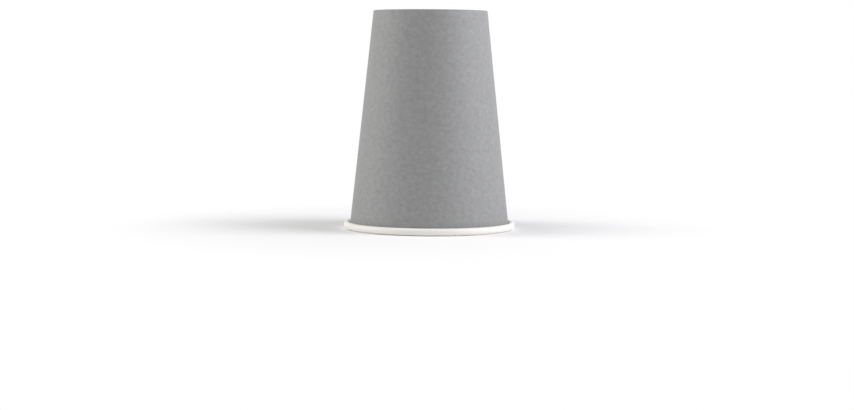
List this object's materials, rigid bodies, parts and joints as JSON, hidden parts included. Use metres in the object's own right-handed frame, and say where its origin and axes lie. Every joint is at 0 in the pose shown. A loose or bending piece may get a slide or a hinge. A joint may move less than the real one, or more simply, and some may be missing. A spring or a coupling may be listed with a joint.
{
  "type": "paper cup",
  "caption": "Disposable single-wall paper cup, mouth down: tapered side wall with a lapped side seam, rolled rim and a recessed base in a folded foot.",
  "frame": {"origin": "centre of the rim circle, on the plane that the rolled rim stands on when the cup is mouth down", "axes": "+Z along the cup's axis, from the mouth up to the foot; +Y towards the side seam; +X completes the right-handed frame"},
  "size_m": [0.09, 0.09, 0.114],
  "materials": {
    "printed_board": "matte grey print on uncoated cup board",
    "coated_board": "white board with a thin clear plastic coating, satin",
    "cut_edge": "raw cut edge of white board, matte"
  },
  "bodies": {
    "root": {"side_wall": "printed_board", "base_disc": "coated_board"}
  },
  "joints": []
}
